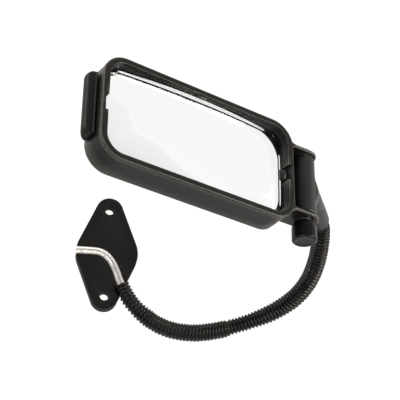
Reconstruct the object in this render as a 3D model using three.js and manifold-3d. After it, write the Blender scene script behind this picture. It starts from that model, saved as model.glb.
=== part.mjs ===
// Framed viewing lens on a bendable arm: a two-hole lozenge mounting plate, an aluminium
// arm rod in a split corrugated sleeve, a clamped hinge barrel and a deep rectangular
// head frame that carries a plano-convex lens. Millimetres, +Z out of the plate's face.
import * as THREE from 'three';
import { mergeVertices } from 'three/addons/utils/BufferGeometryUtils.js';
import Module from 'manifold-3d';

const wasm = await Module();
wasm.setup();

// ---------------------------------------------------------------- driving dimensions
const GAP = 0.3;                     // clearance between neighbouring pieces
// mounting plate
const PLATE_T = 10;                  // thickness
const PLATE_END_R = 12.6;            // end radius
const HOLE_Y = 42.6;                 // screw holes at +/- this
const HOLE_R = 4.25;
const PLATE_SIDE_DEG = 22.2;         // slope of the long sides
const PLATE_MID_R = 28;              // radius of the two side corners
const PLATE_MID_X = 0.74;
// arm
const ROD_R = 4;                     // 8 mm aluminium rod
const ROD_Z = 8.5;                   // rod axis height over the back face
const SLEEVE_R_LOW = 8.5, SLEEVE_R_MID = 8.7, SLEEVE_R_TOP = 8.4;
const SLEEVE_BORE = 4.9;
const BEND_GAP = 4.6;                // free length between two arm segments
const BEND_LOW_S = 124;              // arc length of the lower bend
const BEND_TOP_S = 238;              // arc length of the upper bend
const SLEEVE_START_S = 62;           // arc length where the sleeve begins
// head
const HEAD_W = 184.6, HEAD_H = 92.1, HEAD_D = 25.4, HEAD_R = 20.5;
const LIP_D = 4, LIP_STEP = 0.3;     // front lip depth and its step over the side wall
const IN_W = 173, IN_H = 81.9, IN_R = 15;
const LENS_R = 520;                  // radius of the convex face
const LENS_FRONT = 3.3, LENS_BACK = 18.6;
const CLIP_HALF = 7, CLIP_HALF_TOP = 5;
// hinge
const AX = 111.1, AY = 12.7;         // hinge axis in the head
const EAR_R = 12.7;
const EAR_TOP = [27.5, 30.5], EAR_LOW = [-33.3, -30.3];
const BARREL = [-28.7, 25.9], BARREL_R = 11, BARREL_BORE = 5;
const STUD_R = 3;
const BOOT_DEG = 54.5;               // swing of the arm socket from straight back
const BOOT_Z = -5, BOOT_L = 55, BOOT_R0 = 11.2, BOOT_R1 = 9.2;
const KNOB = [-52.3, -38], KNOB_R = 10.5, NECK_R = 8.8;
// head placement in the row frame
const HEAD_POS = [54.574, 21.936, 211.199];
const HEAD_ROT = [-95.189, -0.163, 25.27].map(THREE.MathUtils.degToRad);

// ---------------------------------------------------------------- helpers
function solidOf(geometry) {
  const g = geometry.clone();
  g.deleteAttribute('normal');
  if (g.attributes.uv) g.deleteAttribute('uv');
  const m = mergeVertices(g, 1e-4);
  return new wasm.Manifold(new wasm.Mesh({
    numProp: 3,
    vertProperties: new Float32Array(m.attributes.position.array),
    triVerts: new Uint32Array(m.index.array),
  }));
}
function geometryOf(solid) {
  const m = solid.getMesh();
  const g = new THREE.BufferGeometry();
  g.setAttribute('position', new THREE.BufferAttribute(new Float32Array(m.vertProperties), 3));
  g.setIndex(new THREE.BufferAttribute(new Uint32Array(m.triVerts), 1));
  g.computeVertexNormals();
  return g;
}
function roundedRect(w, h, r) {
  const s = new THREE.Shape();
  const x = w / 2, y = h / 2;
  s.moveTo(-x + r, -y);
  s.lineTo(x - r, -y); s.absarc(x - r, -y + r, r, -Math.PI / 2, 0, false);
  s.lineTo(x, y - r); s.absarc(x - r, y - r, r, 0, Math.PI / 2, false);
  s.lineTo(-x + r, y); s.absarc(-x + r, y - r, r, Math.PI / 2, Math.PI, false);
  s.lineTo(-x, -y + r); s.absarc(-x + r, -y + r, r, Math.PI, Math.PI * 1.5, false);
  return s;
}
// an outline in (X, Z), extruded along Y from y0 to y1
function alongY(shape, y0, y1, seg = 8) {
  const g = new THREE.ExtrudeGeometry(shape, { depth: y1 - y0, bevelEnabled: false, curveSegments: seg });
  g.rotateX(Math.PI / 2);
  g.translate(0, y1, 0);
  return g;
}
// an outline in (X, Y), extruded along Z from z0 to z1
function alongZ(shape, z0, z1, seg = 12) {
  const g = new THREE.ExtrudeGeometry(shape, { depth: z1 - z0, bevelEnabled: false, curveSegments: seg });
  g.translate(0, 0, z0);
  return g;
}
function box(x0, x1, y0, y1, z0, z1) {
  const g = new THREE.BoxGeometry(x1 - x0, y1 - y0, z1 - z0);
  g.translate((x0 + x1) / 2, (y0 + y1) / 2, (z0 + z1) / 2);
  return g;
}
// a block between two outlines with the same number of points, each in (X, Z)
function loft(a, ya, b, yb) {
  const n = a.length, pos = [];
  for (const [loop, y] of [[a, ya], [b, yb]]) for (const p of loop) pos.push(p.x, y, p.y);
  pos.push(0, ya, 0, 0, yb, 0);
  const idx = [];
  for (let i = 0; i < n; i++) {
    const j = (i + 1) % n;
    idx.push(i, j, n + i, j, n + j, n + i, 2 * n, j, i, 2 * n + 1, n + i, n + j);
  }
  const g = new THREE.BufferGeometry();
  g.setAttribute('position', new THREE.BufferAttribute(new Float32Array(pos), 3));
  g.setIndex(new THREE.BufferAttribute(new Uint32Array(idx.flatMap((_, k) => k % 3 ? [] : [idx[k], idx[k + 2], idx[k + 1]])), 1));
  return g;
}
function outlinePoints(w, h, r, seg = 8) {
  const p = roundedRect(w, h, r).getPoints(seg);
  if (p[0].distanceTo(p[p.length - 1]) < 1e-6) p.pop();
  return p;
}
// a turned piece about a vertical axis through (x, y): profile of [radius, z]
function turned(profile, x, y, seg = 32) {
  const g = new THREE.LatheGeometry(profile.map(([r, z]) => new THREE.Vector2(r, z)), seg);
  g.rotateX(Math.PI / 2);            // lathe axis +Y goes to +Z
  g.translate(x, y, 0);
  return g;
}
function cylZ(r, z0, z1, x, y, seg = 32) {
  return turned([[0, z0], [r, z0], [r, z1], [0, z1]], x, y, seg);
}
function polyShape(points) {
  return new THREE.Shape(points.map(([x, y]) => new THREE.Vector2(x, y)));
}
function circleShape(r, n = 16, hole = 0, nh = 12) {
  const ring = (rr, k) => Array.from({ length: k }, (_, i) =>
    new THREE.Vector2(rr * Math.cos(2 * Math.PI * i / k), rr * Math.sin(2 * Math.PI * i / k)));
  const s = new THREE.Shape(ring(r, n));
  if (hole > 0) s.holes.push(new THREE.Path(ring(hole, nh)));
  return s;
}
function mat(color, roughness, metalness = 0, extra = {}) {
  return new THREE.MeshStandardMaterial({ color, roughness, metalness, ...extra });
}
const BLACK = () => mat(0x1b1b1c, 0.55);
const BLACK_GLOSS = () => mat(0x101011, 0.3);
const ALU = () => mat(0xc9c9c7, 0.3, 1);
const STEEL = () => mat(0x8d9093, 0.35, 1);

const group = new THREE.Group();
const head = new THREE.Group();
head.position.set(...HEAD_POS);
head.rotation.set(...HEAD_ROT, 'XYZ');
group.add(head);
function put(parent, name, geometry, material) {
  const m = new THREE.Mesh(geometry, material);
  m.name = name;
  parent.add(m);
  return m;
}

// ---------------------------------------------------------------- arm route
// control points of the rod's axis, from its end at the plate's side corner to the socket
const ROUTE = [
  [-29.3, 0, 8.5], [-22, 0.3, 8.5], [-15, 0.5, 8.5], [-8.5, 0.3, 8.5], [-3.6, -1.1, 8.5],
  [0.7, -4, 8.5], [4.2, -7.9, 8.5], [7.2, -12.9, 8.5], [9.9, -18.6, 8.5], [13.15, -26.57, 8.5],
  [24.35, -45.61, 8.73], [39.55, -59.56, 9.08], [58.3, -68.46, 9.26], [78.97, -70.93, 9.42],
  [99.87, -68.15, 10.17], [119.61, -62.8, 12.89], [138.8, -56.38, 18.38], [156, -49.13, 27.05],
  [170.52, -40.04, 39.06], [179.59, -28.94, 54.18], [182.6, -17, 71.33], [182.4, -5.2, 86.6],
  [180.3, 4.9, 97.6], [176.27, 7.64, 105.26],
].map((p) => new THREE.Vector3(...p));
const route = new THREE.CatmullRomCurve3(ROUTE, false, 'centripetal');
route.arcLengthDivisions = 2000;
const ROUTE_L = route.getLength();
function stretch(s0, s1, step = 3) {
  const n = Math.max(2, Math.ceil((s1 - s0) / step));
  const pts = [];
  for (let i = 0; i <= n; i++) pts.push(route.getPointAt(Math.min(1, Math.max(0, (s0 + (s1 - s0) * i / n) / ROUTE_L))));
  return pts;
}
function sweep(points, shape, steps) {
  const path = new THREE.CatmullRomCurve3(points, false, 'centripetal');
  return new THREE.ExtrudeGeometry(shape, { steps, extrudePath: path, bevelEnabled: false });
}

// ---------------------------------------------------------------- mounting plate
function plateShape() {
  const a = THREE.MathUtils.degToRad(PLATE_SIDE_DEG);
  const s = new THREE.Shape();
  s.absarc(0, HOLE_Y, PLATE_END_R, a, Math.PI - a, false);
  s.absarc(-PLATE_MID_X, 0, PLATE_MID_R, Math.PI - a, Math.PI + a, false);
  s.absarc(0, -HOLE_Y, PLATE_END_R, Math.PI + a, 2 * Math.PI - a, false);
  s.absarc(PLATE_MID_X, 0, PLATE_MID_R, -a, a, false);
  s.closePath();
  return s;
}
// flat strip of half-width w around the route between two arc lengths
function strip(s0, s1, w) {
  const pts = stretch(s0, s1, 2.5);
  const left = [], right = [];
  for (let i = 0; i < pts.length; i++) {
    const a = pts[Math.max(0, i - 1)], b = pts[Math.min(pts.length - 1, i + 1)];
    const t = new THREE.Vector2(b.x - a.x, b.y - a.y).normalize();
    left.push([pts[i].x - t.y * w, pts[i].y + t.x * w]);
    right.push([pts[i].x + t.y * w, pts[i].y - t.x * w]);
  }
  return polyShape([...right, ...left.reverse()]);
}
{
  let plate = solidOf(alongZ(plateShape(), 0, PLATE_T, 16));
  for (const y of [HOLE_Y, -HOLE_Y]) plate = plate.subtract(solidOf(cylZ(HOLE_R, -1, PLATE_T + 1, 0, y, 24)));
  // open channel for the rod: round bottom and straight sides
  const lead = stretch(0, 66, 3);
  const back = lead[0].clone().add(lead[0].clone().sub(lead[1]).multiplyScalar(2));
  plate = plate.subtract(solidOf(sweep([back, ...lead], circleShape(ROD_R + GAP, 12), 26)));
  plate = plate.subtract(solidOf(alongZ(strip(0, 66, ROD_R + GAP - 0.02), ROD_Z, PLATE_T + 2)));
  plate = plate.subtract(solidOf(box(-40, -29, -(ROD_R + GAP - 0.02), ROD_R + GAP - 0.02, ROD_Z, PLATE_T + 2)));
  // notch where the sleeve meets the plate's edge
  plate = plate.subtract(solidOf(alongZ(strip(SLEEVE_START_S - 0.8, SLEEVE_START_S + 34, SLEEVE_R_LOW + 0.5), -1, PLATE_T + 1)));
  put(group, 'mount_plate', geometryOf(plate), mat(0x141414, 0.6));
}

// ---------------------------------------------------------------- rod and sleeve segments
const half = BEND_GAP / 2;
const socketStop = ROUTE_L - GAP;
put(group, 'arm_rod_lower', sweep(stretch(0, BEND_LOW_S - half), circleShape(ROD_R, 10), 32), ALU());
put(group, 'arm_rod_middle', sweep(stretch(BEND_LOW_S + half, BEND_TOP_S - half), circleShape(ROD_R, 10), 16), ALU());
put(group, 'sleeve_lower', sweep(stretch(SLEEVE_START_S, BEND_LOW_S - half), circleShape(SLEEVE_R_LOW, 14, SLEEVE_BORE, 10), 16), BLACK_GLOSS());
put(group, 'sleeve_middle', sweep(stretch(BEND_LOW_S + half, BEND_TOP_S - half), circleShape(SLEEVE_R_MID, 14, SLEEVE_BORE, 10), 18), BLACK_GLOSS());
put(group, 'sleeve_upper', sweep(stretch(BEND_TOP_S + half, socketStop - 2.2), circleShape(SLEEVE_R_TOP, 14, SLEEVE_BORE, 10), 14), BLACK_GLOSS());

// ---------------------------------------------------------------- head frame
{
  let f = solidOf(alongY(roundedRect(HEAD_W, HEAD_H, HEAD_R), 0, LIP_D + 0.01, 8));
  f = f.add(solidOf(alongY(roundedRect(HEAD_W - 2 * LIP_STEP, HEAD_H - 2 * LIP_STEP, HEAD_R - LIP_STEP), LIP_D, HEAD_D, 8)));
  // hinge ears: plan outline crossed with their front outline
  const plan = new THREE.Shape();
  plan.moveTo(84, 0);
  plan.lineTo(AX, 0);
  plan.absarc(AX, AY, EAR_R, -Math.PI / 2, Math.PI / 2, false);
  plan.lineTo(84, HEAD_D);
  plan.closePath();
  const planSolid = solidOf(alongZ(plan, -60, 60, 20));
  const upper = polyShape([[86, 36.2], [88.6, 35.6], [90.4, 34.6], [91.6, 33], [93, 31.6], [95, 30.75], [97.5, EAR_TOP[1]],
    [130, EAR_TOP[1]], [130, EAR_TOP[0]], [94.5, EAR_TOP[0]], [92.7, 26.9], [91.9, 25], [86, 25]]);
  const lower = polyShape([[86, -39.6], [88.4, -38.9], [90.2, -37.2], [92, -35.3], [94.2, -33.9], [97.5, EAR_LOW[0]],
    [130, EAR_LOW[0]], [130, EAR_LOW[1]], [94.5, EAR_LOW[1]], [92.7, -29.7], [91.9, -27.8], [86, -27.8]]);
  f = f.add(solidOf(alongY(upper, 0, HEAD_D)).intersect(planSolid));
  f = f.add(solidOf(alongY(lower, 0, HEAD_D)).intersect(planSolid));
  f = f.add(solidOf(cylZ(9, EAR_TOP[1] - 0.5, EAR_TOP[1] + 3, AX, AY, 28)));
  // stud holes and hex pocket
  f = f.subtract(solidOf(cylZ(STUD_R + GAP, -40, 40, AX, AY, 20)));
  f = f.subtract(solidOf(cylZ(6.12, EAR_TOP[1], EAR_TOP[1] + 4, AX, AY, 6)));
  // lens pocket, ledge and rear hollow
  f = f.subtract(solidOf(alongY(roundedRect(IN_W, IN_H, IN_R), -1, LENS_BACK + GAP, 8)));
  f = f.subtract(solidOf(alongY(roundedRect(171.2, 79.6, 20), LENS_BACK, 20, 8)));
  // rear opening flares out to a thin edge
  f = f.subtract(solidOf(loft(outlinePoints(171.2, 79.6, 17.5), 19.9, outlinePoints(180.2, 87.7, 18.4), HEAD_D + 0.4)));
  // slots for the four snap clips
  const sx = IN_W / 2, sz = IN_H / 2, c = CLIP_HALF + GAP, ct = CLIP_HALF_TOP + GAP;
  for (const k of [1, -1]) {
    const [x0, x1] = k > 0 ? [sx - 1, sx + 2.1] : [-sx - 2.1, -sx + 1];
    f = f.subtract(solidOf(box(x0, x1, -1, LENS_BACK + GAP, -c, c)));
    const [z0, z1] = k > 0 ? [sz - 1, sz + 2.2] : [-sz - 2.2, -sz + 1];
    f = f.subtract(solidOf(box(-ct, ct, 1.6, LENS_BACK + GAP, z0, z1)));
  }
  put(head, 'mirror_frame', geometryOf(f), BLACK());
}

// ---------------------------------------------------------------- lens
{
  const prof = [[0, 30]];
  prof.length = 0;
  const n = 6;
  for (let i = 0; i <= n; i++) {
    const r = 100 * i / n;
    prof.push([r, LENS_FRONT + LENS_R - Math.sqrt(LENS_R * LENS_R - r * r)]);
  }
  prof.push([100, 30], [0, 30]);
  const cap = new THREE.LatheGeometry(prof.map(([r, y]) => new THREE.Vector2(r, y)), 32);
  const blank = solidOf(alongY(roundedRect(IN_W - 2 * GAP, IN_H - 2 * GAP, IN_R - GAP), 1, LENS_BACK, 8));
  put(head, 'lens', geometryOf(blank.intersect(solidOf(cap))), mat(0xf2f5f5, 0.02, 0, { transparent: true, opacity: 0.25 }));
}

// ---------------------------------------------------------------- snap clips
function clip(outline) { return polyShape(outline); }
{
  const sx = IN_W / 2, sz = IN_H / 2;
  // side clips: outline in (X, Y), swept along Z
  const side = [[sx + 0.1, LENS_BACK], [sx + 1.8, LENS_BACK], [sx + 1.8, 4.5], [sx + 0.6, 4.5], [sx - 0.2, 6.4], [sx - 3.2, 8.2], [sx - 3.2, 9.0], [sx + 0.1, 9.7]];
  const g = alongZ(clip(side), -CLIP_HALF, CLIP_HALF);
  put(head, 'lens_clip_right', g, BLACK());
  const gl = alongZ(clip(side.map(([x, y]) => [-x, y]).reverse()), -CLIP_HALF, CLIP_HALF);
  put(head, 'lens_clip_left', gl, BLACK());
  // top and bottom clips: outline in (Z, Y), swept along X
  const over = [[sz + 0.1, LENS_BACK], [sz + 1.9, LENS_BACK], [sz + 1.9, 1.9], [sz + 0.4, 1.9], [sz - 0.2, 2.4], [sz - 1.7, 3.4], [sz - 1.7, 4.2], [sz + 0.1, 4.5]];
  for (const [name, k] of [['lens_clip_top', 1], ['lens_clip_bottom', -1]]) {
    const pts = over.map(([z, y]) => [k * z, y]);
    const s = polyShape(k > 0 ? pts : pts.reverse());
    const e = new THREE.ExtrudeGeometry(s, { depth: 2 * CLIP_HALF_TOP, bevelEnabled: false });
    // outline axes (z, y) and depth to the head's (Z, Y, X)
    e.applyMatrix4(new THREE.Matrix4().makeBasis(new THREE.Vector3(0, 0, 1), new THREE.Vector3(0, 1, 0), new THREE.Vector3(-1, 0, 0)));
    e.translate(CLIP_HALF_TOP, 0, 0);
    put(head, name, e, BLACK());
  }
}

// ---------------------------------------------------------------- side grip
{
  const xw = -(HEAD_W / 2 - LIP_STEP) - GAP;
  const s = polyShape([[xw, 11.2], [-94.5, 11.0], [-97.8, 11.7], [-100.3, 13.3], [-101.7, 15.4], [-101.6, 17.4],
    [-100.0, 20.2], [-97.6, 22.8], [-94.6, 24.5], [xw, 24.9]]);
  // rounded at its two outer corners
  const face = alongY(roundedRect(44, 59.5, 6), 8, 27, 8);
  face.translate(-80, 0, 0.75);
  put(head, 'side_grip', geometryOf(solidOf(alongZ(s, -29, 30.5)).intersect(solidOf(face))), BLACK_GLOSS());
}

// ---------------------------------------------------------------- hinge barrel with arm socket
const bootDir = new THREE.Vector3(Math.sin(THREE.MathUtils.degToRad(BOOT_DEG)), Math.cos(THREE.MathUtils.degToRad(BOOT_DEG)), 0);
function alongBoot(geometry) {           // local +Y becomes the socket direction, origin on the hinge axis
  geometry.applyQuaternion(new THREE.Quaternion().setFromUnitVectors(new THREE.Vector3(0, 1, 0), bootDir));
  geometry.translate(AX, AY, BOOT_Z);
  return geometry;
}
function bootTurned(profile, seg) {
  return alongBoot(new THREE.LatheGeometry(profile.map(([r, y]) => new THREE.Vector2(r, y)), seg));
}
{
  let b = solidOf(turned([[0, BARREL[0]], [BARREL_R - 0.6, BARREL[0]], [BARREL_R, BARREL[0] + 0.6], [BARREL_R, BARREL[1] - 0.6], [BARREL_R - 0.6, BARREL[1]], [0, BARREL[1]]], AX, AY, 40));
  b = b.add(solidOf(bootTurned([[0, 3], [BOOT_R0 - 0.5, 3], [BOOT_R0, 14], [BOOT_R0, 36], [BOOT_R0 - 0.7, 45], [BOOT_R1 + 0.3, BOOT_L - 4], [BOOT_R1 - 0.4, BOOT_L], [0, BOOT_L]], 32)));
  b = b.subtract(solidOf(cylZ(BARREL_BORE, -40, 40, AX, AY, 28)));
  b = b.subtract(solidOf(bootTurned([[0, 18], [ROD_R + GAP, 18], [ROD_R + GAP, BOOT_L + 2], [0, BOOT_L + 2]], 20)));
  const pinAt = bootDir.clone().multiplyScalar(40);
  b = b.subtract(solidOf(cylZ(1.6, BOOT_Z - 20, BOOT_Z + 20, AX + pinAt.x, AY + pinAt.y, 14)));
  put(head, 'hinge_barrel', geometryOf(b), BLACK());
  put(head, 'rod_cross_pin', cylZ(1.3, BOOT_Z - 9.8, BOOT_Z + 9.8, AX + pinAt.x, AY + pinAt.y, 14), STEEL());
}
{
  // upper rod: from the upper bend into the socket, crossed by the pin
  head.updateMatrixWorld(true);
  const toRow = (p) => p.clone().applyMatrix4(head.matrixWorld);
  const axisAt = (d) => toRow(bootDir.clone().multiplyScalar(d).add(new THREE.Vector3(AX, AY, BOOT_Z)));
  const pts = [...stretch(BEND_TOP_S + half, ROUTE_L - 9), axisAt(BOOT_L - 2), axisAt(45), axisAt(35), axisAt(24)];
  let rod = solidOf(sweep(pts, circleShape(ROD_R - 0.05, 10), 24));
  const pinHole = cylZ(1.6, BOOT_Z - 20, BOOT_Z + 20, AX + bootDir.x * 40, AY + bootDir.y * 40, 14);
  pinHole.applyMatrix4(head.matrixWorld);
  rod = rod.subtract(solidOf(pinHole));
  put(group, 'arm_rod_upper', geometryOf(rod), ALU());
}

// ---------------------------------------------------------------- hinge clamp stack
const ring = (ri, ro, z0, z1, seg) => turned([[ri, z0], [ro, z0], [ro, z1], [ri, z1], [ri, z0]], AX, AY, seg);
put(head, 'barrel_bush', ring(STUD_R + GAP, BARREL_BORE - GAP, BARREL[0] + 0.3, BARREL[1] - 0.3, 24), mat(0x262625, 0.5));
put(head, 'friction_washer_upper', ring(STUD_R + GAP, 10, BARREL[1] + GAP, EAR_TOP[0] - GAP, 28), mat(0x262625, 0.5));
put(head, 'friction_washer_lower', ring(STUD_R + GAP, 10, EAR_LOW[1] + GAP, BARREL[0] - GAP, 28), mat(0x262625, 0.5));
put(head, 'knob_washer', ring(STUD_R + GAP, 7.2, EAR_LOW[0] - GAP - 1.2, EAR_LOW[0] - GAP, 28), STEEL());
{
  const nut = solidOf(cylZ(5.77, EAR_TOP[1] + GAP, EAR_TOP[1] + 5, AX, AY, 6)).subtract(solidOf(cylZ(STUD_R + GAP, 20, 50, AX, AY, 20)));
  put(head, 'captive_nut', geometryOf(nut), STEEL());
}
put(head, 'clamp_stud', turned([[0, -48.4], [STUD_R, -48.4], [STUD_R, 36], [STUD_R - 0.8, 36.8], [0, 36.8]], AX, AY, 20), STEEL());
put(head, 'knob_insert', ring(STUD_R + GAP, 4.1, -48.4, -35.6, 24), mat(0xb08d4f, 0.35, 1));
{
  const top = EAR_LOW[0] - GAP - 1.2 - GAP;
  let k = solidOf(turned([[0, KNOB[0]], [KNOB_R - 1.1, KNOB[0]], [KNOB_R, KNOB[0] + 1.1], [KNOB_R, KNOB[1] - 1.6], [KNOB_R - 1.2, KNOB[1] - 0.3], [NECK_R, KNOB[1]], [NECK_R, top], [0, top]], AX, AY, 36));
  k = k.subtract(solidOf(cylZ(4.4, -48.7, top + 2, AX, AY, 24)));
  put(head, 'clamp_knob', geometryOf(k), BLACK_GLOSS());
}

export default group;
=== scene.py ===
import math

import bmesh
import bpy
import numpy as np
from mathutils import Matrix, Vector


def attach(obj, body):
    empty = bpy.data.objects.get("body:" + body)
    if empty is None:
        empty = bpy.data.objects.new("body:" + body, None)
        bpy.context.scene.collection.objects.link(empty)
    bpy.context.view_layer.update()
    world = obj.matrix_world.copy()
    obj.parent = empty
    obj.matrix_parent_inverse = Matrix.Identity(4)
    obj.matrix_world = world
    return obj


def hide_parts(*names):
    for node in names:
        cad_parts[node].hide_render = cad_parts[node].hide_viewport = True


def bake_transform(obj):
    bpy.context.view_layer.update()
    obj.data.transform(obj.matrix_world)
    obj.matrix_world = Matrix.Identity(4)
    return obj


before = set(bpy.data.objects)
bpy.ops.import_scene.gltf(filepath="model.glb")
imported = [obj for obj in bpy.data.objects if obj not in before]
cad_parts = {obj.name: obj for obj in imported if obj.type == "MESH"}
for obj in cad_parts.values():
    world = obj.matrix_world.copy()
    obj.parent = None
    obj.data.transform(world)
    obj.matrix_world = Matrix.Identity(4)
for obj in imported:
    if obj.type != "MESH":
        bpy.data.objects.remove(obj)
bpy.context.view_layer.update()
scene = bpy.context.scene

# ------------------------------------------------------------------ frames and sizes
MM = 0.001
HEAD_T = np.array([54.574, 21.936, 211.199])


def euler_xyz(a, b, c):
    a, b, c = (math.radians(x) for x in (a, b, c))
    rx = np.array([[1, 0, 0], [0, math.cos(a), -math.sin(a)], [0, math.sin(a), math.cos(a)]])
    ry = np.array([[math.cos(b), 0, math.sin(b)], [0, 1, 0], [-math.sin(b), 0, math.cos(b)]])
    rz = np.array([[math.cos(c), -math.sin(c), 0], [math.sin(c), math.cos(c), 0], [0, 0, 1]])
    return rx @ ry @ rz


HEAD_R = euler_xyz(-95.189, -0.163, 25.27)
AX, AY = 111.1, 12.7                    # hinge axis in the head
EAR_TOP, EAR_LOW = (27.5, 30.5), (-33.3, -30.3)
BOOT_A = math.radians(54.5)
BOOT_D = np.array([math.sin(BOOT_A), math.cos(BOOT_A), 0.0])
BOOT_O = np.array([AX, AY, -5.0])


def head_to_row(v):
    return np.asarray(v, float) @ HEAD_R.T + HEAD_T


# ------------------------------------------------------------------ mesh helpers
def new_object(name, verts, faces):
    me = bpy.data.meshes.new(name)
    me.from_pydata(np.asarray(verts, float).tolist(), [], [list(map(int, f)) for f in faces])
    me.validate()
    ob = bpy.data.objects.new(name, me)
    scene.collection.objects.link(ob)
    return ob


def outward(ob):
    bm = bmesh.new()
    bm.from_mesh(ob.data)
    bmesh.ops.recalc_face_normals(bm, faces=bm.faces)
    bm.to_mesh(ob.data)
    bm.free()
    return ob


def place(ob, space, body, material, replaces=(), angle=35.0, merge=0.0):
    """Millimetres in the head's or the row's axes to metres in the row frame, then ride the body."""
    me = ob.data
    co = np.zeros(len(me.vertices) * 3)
    me.vertices.foreach_get("co", co)
    co = co.reshape(-1, 3)
    if space == "head":
        co = head_to_row(co)
    me.vertices.foreach_set("co", (co * MM).ravel())
    me.update()
    shade(ob, angle, merge)
    me.materials.clear()
    me.materials.append(material)
    if body:
        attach(ob, body)
    if replaces:
        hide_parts(*replaces)
    return ob


def shade(ob, angle=35.0, merge=0.0):
    bm = bmesh.new()
    bm.from_mesh(ob.data)
    if merge:
        bmesh.ops.remove_doubles(bm, verts=bm.verts, dist=merge)
    bmesh.ops.dissolve_degenerate(bm, edges=bm.edges, dist=1e-7)
    lim = math.radians(angle)
    for f in bm.faces:
        f.smooth = True
    for e in bm.edges:
        e.smooth = len(e.link_faces) == 2 and e.calc_face_angle(0.0) < lim
    bm.to_mesh(ob.data)
    bm.free()


def boolean(ob, cutters, operation="DIFFERENCE"):
    for c in cutters:
        m = ob.modifiers.new("b", "BOOLEAN")
        m.operation = operation
        m.object = c
        m.solver = "MANIFOLD"
    bpy.context.view_layer.update()
    dg = bpy.context.evaluated_depsgraph_get()
    me = bpy.data.meshes.new_from_object(ob.evaluated_get(dg))
    ob.modifiers.clear()
    old = ob.data
    ob.data = me
    bpy.data.meshes.remove(old)
    for c in cutters:
        bpy.data.objects.remove(c)
    return ob


def skin(loops, closed=False, caps=True):
    """Quads between loops of equal length. closed joins the last loop to the first."""
    n, k = len(loops[0]), len(loops)
    verts = np.concatenate([np.asarray(l, float) for l in loops])
    faces = []
    for i in range(k if closed else k - 1):
        a, b = i * n, ((i + 1) % k) * n
        for j in range(n):
            j2 = (j + 1) % n
            faces.append((a + j, a + j2, b + j2, b + j))
    if not closed and caps:
        faces.append(tuple(reversed(range(n))))
        faces.append(tuple(range((k - 1) * n, k * n)))
    return verts, faces


def rrect(hw, hh, r, k=16, straight=3):
    """Rounded rectangle outline, anticlockwise, with extra points along its sides."""
    r = max(r, 0.05)
    pts = []
    corners = ((hw - r, -(hh - r), -90), (hw - r, hh - r, 0), (-(hw - r), hh - r, 90), (-(hw - r), -(hh - r), 180))
    for q, (cx, cz, a0) in enumerate(corners):
        arc = [(cx + r * math.cos(math.radians(a0 + 90 * i / k)), cz + r * math.sin(math.radians(a0 + 90 * i / k))) for i in range(k + 1)]
        pts += arc
        nx, nz, na = corners[(q + 1) % 4]
        start = (nx + r * math.cos(math.radians(na)), nz + r * math.sin(math.radians(na)))
        for i in range(1, straight + 1):
            t = i / (straight + 1)
            pts.append((arc[-1][0] * (1 - t) + start[0] * t, arc[-1][1] * (1 - t) + start[1] * t))
    return np.array(pts)


def lathe(profile, seg, origin=(0, 0, 0), axis="z"):
    """Turned piece. profile is (radius, height), closed on itself or starting and ending on the axis."""
    prof = [tuple(p) for p in profile]
    ring = prof[0] == prof[-1]
    if ring:
        prof = prof[:-1]
    verts, faces, idx = [], [], []
    for r, h in prof:
        if r < 1e-9:
            idx.append([len(verts)] * seg)
            verts.append((0, 0, h))
        else:
            idx.append(list(range(len(verts), len(verts) + seg)))
            verts += [(r * math.cos(2 * math.pi * i / seg), r * math.sin(2 * math.pi * i / seg), h) for i in range(seg)]
    pairs = list(zip(idx, idx[1:])) + ([(idx[-1], idx[0])] if ring else [])
    for a, b in pairs:
        for i in range(seg):
            j = (i + 1) % seg
            f = []
            for v in (a[i], a[j], b[j], b[i]):
                if v not in f:
                    f.append(v)
            if len(f) > 2:
                faces.append(f)
    v = np.array(verts, float)
    if axis == "boot":
        v = boot_frame(v)
    return v + np.array(origin, float), faces


def boot_frame(v):
    """Local +Z to the arm socket's direction."""
    e1 = np.array([0, 0, 1.0])
    e2 = np.cross(BOOT_D, e1)
    return v[:, :1] * e1 + v[:, 1:2] * e2 + v[:, 2:] * BOOT_D


def rounded(profile, r=0.4, k=3):
    """Rounds the corners of a polyline profile with small arcs, ends kept."""
    p = [np.array(q, float) for q in profile]
    out = [tuple(p[0])]
    for i in range(1, len(p) - 1):
        a, b, c = p[i - 1], p[i], p[i + 1]
        u, w = a - b, c - b
        lu, lw = np.linalg.norm(u), np.linalg.norm(w)
        if lu < 1e-9 or lw < 1e-9:
            continue
        d = min(r, lu * 0.45, lw * 0.45)
        s, e = b + u / lu * d, b + w / lw * d
        for j in range(k + 1):
            t = j / k
            out.append(tuple((1 - t) ** 2 * s + 2 * t * (1 - t) * b + t * t * e))
    out.append(tuple(p[-1]))
    return out


def prism(poly, depth0, depth1, bevel=0.3, seg=2):
    """A closed outline (a, b) extruded along c, with its end edges rounded. Returns (a, b, c) vertices."""
    p = np.array(poly, float)
    area = 0.5 * np.sum(p[:, 0] * np.roll(p[:, 1], -1) - np.roll(p[:, 0], -1) * p[:, 1])
    if area < 0:
        p = p[::-1]
    nxt, prv = np.roll(p, -1, 0), np.roll(p, 1, 0)
    e1, e2 = p - prv, nxt - p
    n1 = np.stack([e1[:, 1], -e1[:, 0]], 1) / np.linalg.norm(e1, axis=1)[:, None]
    n2 = np.stack([e2[:, 1], -e2[:, 0]], 1) / np.linalg.norm(e2, axis=1)[:, None]
    nn = n1 + n2
    nn /= np.maximum(np.sum(nn * n1, axis=1), 0.35)[:, None]
    loops = []
    for j in range(seg + 1):
        a = math.pi / 2 * j / seg
        loops.append(np.column_stack([p - nn * bevel * (1 - math.sin(a)), np.full(len(p), depth0 + bevel * (1 - math.cos(a)))]))
    for j in range(seg + 1):
        a = math.pi / 2 * j / seg
        loops.append(np.column_stack([p - nn * bevel * (1 - math.cos(a)), np.full(len(p), depth1 - bevel * (1 - math.sin(a)))]))
    return skin(loops)


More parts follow.
